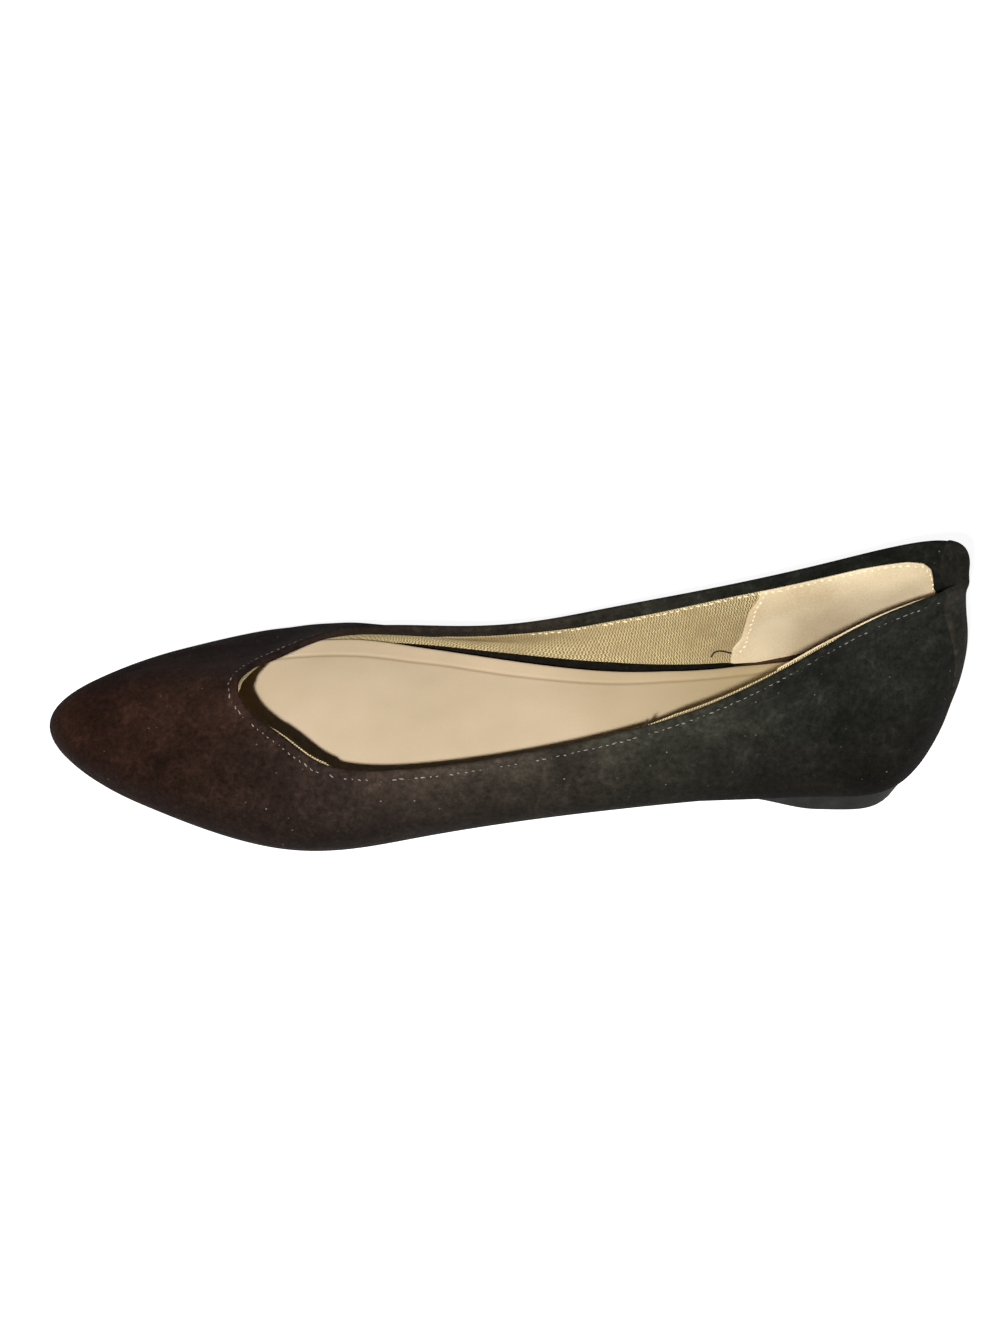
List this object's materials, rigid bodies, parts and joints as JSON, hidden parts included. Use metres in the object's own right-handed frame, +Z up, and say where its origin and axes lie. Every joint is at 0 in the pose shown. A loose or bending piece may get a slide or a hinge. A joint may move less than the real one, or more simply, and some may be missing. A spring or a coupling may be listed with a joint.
{
  "type": "pointed toe flat shoe",
  "caption": "Left pointed toe flat shoe: low suede upper with a V throat and a strip over the back seam, padded insole, thin moulded sole with a low heel.",
  "frame": {"origin": "on the floor, below the middle of the shoe's box", "axes": "+X towards the heel, -X towards the toe; +Y towards the inner side of the foot, -Y towards the outer side; +Z up"},
  "size_m": [0.2566, 0.077, 0.0632],
  "materials": {
    "black_suede": "black suede with a short mottled nap, slightly brown, matte",
    "black_rubber": "moulded black thermoplastic rubber, satin side, fine tread underneath",
    "fibre_board": "pressed brown cellulose lasting board, matte",
    "beige_microfibre": "beige microfibre over foam, smooth and soft"
  },
  "bodies": {
    "root": {"upper": "black_suede", "back_strip": "black_suede", "outsole": "black_rubber", "insole_board": "fibre_board", "insole_sock": "beige_microfibre"}
  },
  "joints": []
}
